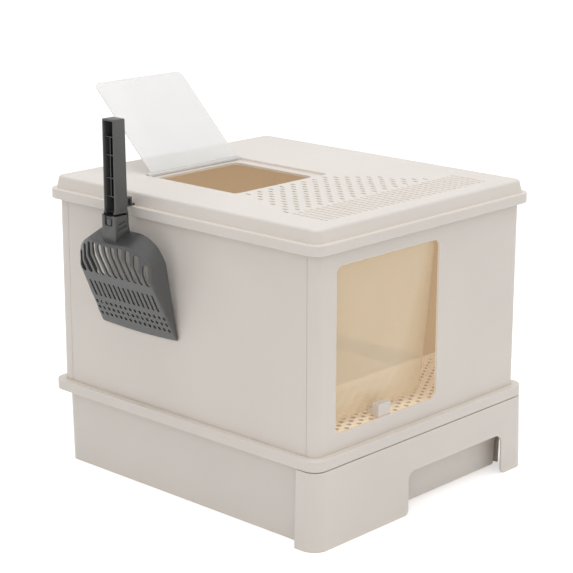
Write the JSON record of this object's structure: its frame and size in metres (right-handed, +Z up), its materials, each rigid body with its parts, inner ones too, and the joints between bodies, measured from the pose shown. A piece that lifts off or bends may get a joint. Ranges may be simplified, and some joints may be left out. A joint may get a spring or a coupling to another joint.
{
  "type": "covered litter box",
  "caption": "Covered cat litter box: tray with pull-out drawer, four walls, swing door, lid with top exit flap and grip mat, and a scoop hung on the lid.",
  "frame": {"origin": "on the floor under the middle of the base tray, on the underside of its floor plate", "axes": "+Z up; the door and the drawer face -Y; the scoop hangs on the -X side"},
  "size_m": [0.459, 0.4814, 0.4928],
  "materials": {
    "shell": "satin ivory plastic",
    "drawer": "satin ivory plastic",
    "grate": "satin ivory plastic",
    "clear_flap": "frosted translucent plastic",
    "rod": "drawn wire",
    "scoop": "satin dark grey plastic"
  },
  "bodies": {
    "box": {"base_tray": "shell", "front_panel": "shell", "back_panel": "shell", "left_panel": "shell", "right_panel": "shell", "entry_grate": "grate", "door_catch": "shell", "door_hinge_clip_left": "shell", "door_hinge_clip_right": "shell", "door_hinge_rod": "rod"},
    "drawer": {"drawer_tray": "drawer"},
    "door": {"door_flap": "clear_flap"},
    "lid": {"lid": "shell", "exit_hinge_clip_left": "shell", "exit_hinge_clip_right": "shell", "exit_hinge_rod": "rod", "scoop_hook": "scoop"},
    "exit": {"exit_flap": "clear_flap"},
    "scoop": {"scoop_head": "scoop", "scoop_handle": "scoop"}
  },
  "joints": [
    {"name": "drawer_slide", "type": "slide", "parent": "box", "child": "drawer", "axis": [0, -1, 0], "range_m": [0, 0.36]},
    {"name": "door_swing", "type": "hinge", "parent": "box", "child": "door", "pos_m": [-0.065, -0.2185, 0.343], "axis": [1, 0, 0], "range_deg": [0, 75]},
    {"name": "lid_lift", "type": "slide", "parent": "box", "child": "lid", "axis": [0, 0, 1], "range_m": [0, 0.06]},
    {"name": "exit_swing", "type": "hinge", "parent": "lid", "child": "exit", "pos_m": [-0.035, 0.136, 0.386], "axis": [1, 0, 0], "range_deg": [0, 136]},
    {"name": "scoop_lift", "type": "slide", "parent": "lid", "child": "scoop", "axis": [-0.2588, 0, 0.9659], "range_m": [0, 0.2]}
  ]
}
